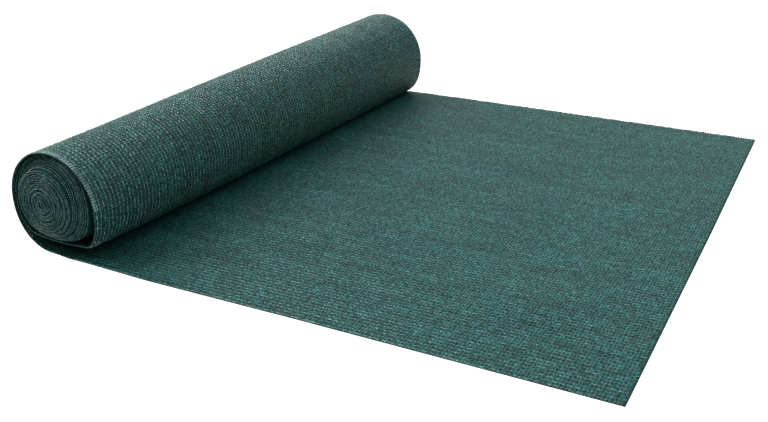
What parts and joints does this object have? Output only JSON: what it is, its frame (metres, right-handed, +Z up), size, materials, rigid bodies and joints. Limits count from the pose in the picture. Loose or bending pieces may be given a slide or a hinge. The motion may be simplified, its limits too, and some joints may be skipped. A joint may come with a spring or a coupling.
{
  "type": "roll of knitted privacy screen netting",
  "caption": "Roll of green knitted privacy screen netting, partly unrolled, with its loose end laid out flat from under the roll.",
  "frame": {"origin": "on the surface that the netting lies on, below the middle of its box", "axes": "+Z up; +X along the loose end, from the roll to the cut end; +Y across the cloth along the roll's axis, from the near end to the far end"},
  "size_m": [0.8982, 1.0166, 0.1687],
  "materials": {
    "knitted_netting": "knitted polyethylene tape and monofilament, satin"
  },
  "bodies": {
    "root": {"screen_netting": "knitted_netting"}
  },
  "joints": []
}
